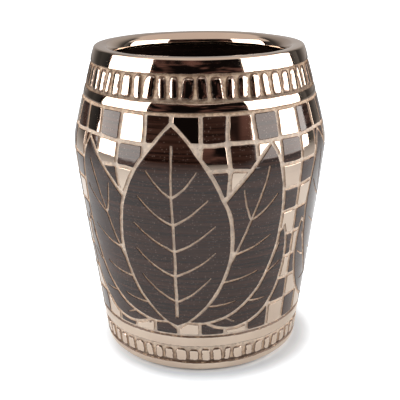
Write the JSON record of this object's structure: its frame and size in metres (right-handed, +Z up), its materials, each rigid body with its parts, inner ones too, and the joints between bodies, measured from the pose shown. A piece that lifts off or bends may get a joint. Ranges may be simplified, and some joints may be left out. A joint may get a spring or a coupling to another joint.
{
  "type": "bud vase",
  "caption": "Small barrel-shaped pottery vase with a wide mouth and a thick lip, rows of raised lustre tiles and dark glazed leaf sprays scored through to the clay.",
  "frame": {"origin": "centre of the foot ring, on the surface that the vase stands on", "axes": "+Z up along the axis of the pot, -Y towards the front that the picture shows, +X to its right"},
  "size_m": [0.0814, 0.0816, 0.1],
  "materials": {
    "clay": "bare fired clay, tan",
    "liner_glaze": "gloss near-black brown glaze",
    "dark_glaze": "gloss dark brown glaze",
    "lustre": "mirror-like pale bronze metallic lustre over glaze"
  },
  "bodies": {
    "root": {"clay_body": "clay", "liner_glaze": "liner_glaze", "lip_lustre": "lustre", "upper_tile_band": "lustre", "shoulder_lustre": "lustre", "check_ground": "dark_glaze", "spray_1_centre_leaf": "dark_glaze", "spray_1_left_leaf": "dark_glaze", "spray_1_right_leaf": "dark_glaze", "spray_1_left_low_leaf": "dark_glaze", "spray_1_right_low_leaf": "dark_glaze", "spray_2_centre_leaf": "dark_glaze", "spray_2_left_leaf": "dark_glaze", "spray_2_right_leaf": "dark_glaze", "spray_2_left_low_leaf": "dark_glaze", "spray_2_right_low_leaf": "dark_glaze", "spray_3_centre_leaf": "dark_glaze", "spray_3_left_leaf": "dark_glaze", "spray_3_right_leaf": "dark_glaze", "spray_3_left_low_leaf": "dark_glaze", "spray_3_right_low_leaf": "dark_glaze", "hip_lustre": "lustre", "lower_tile_band": "lustre", "foot_lustre": "lustre"}
  },
  "joints": []
}
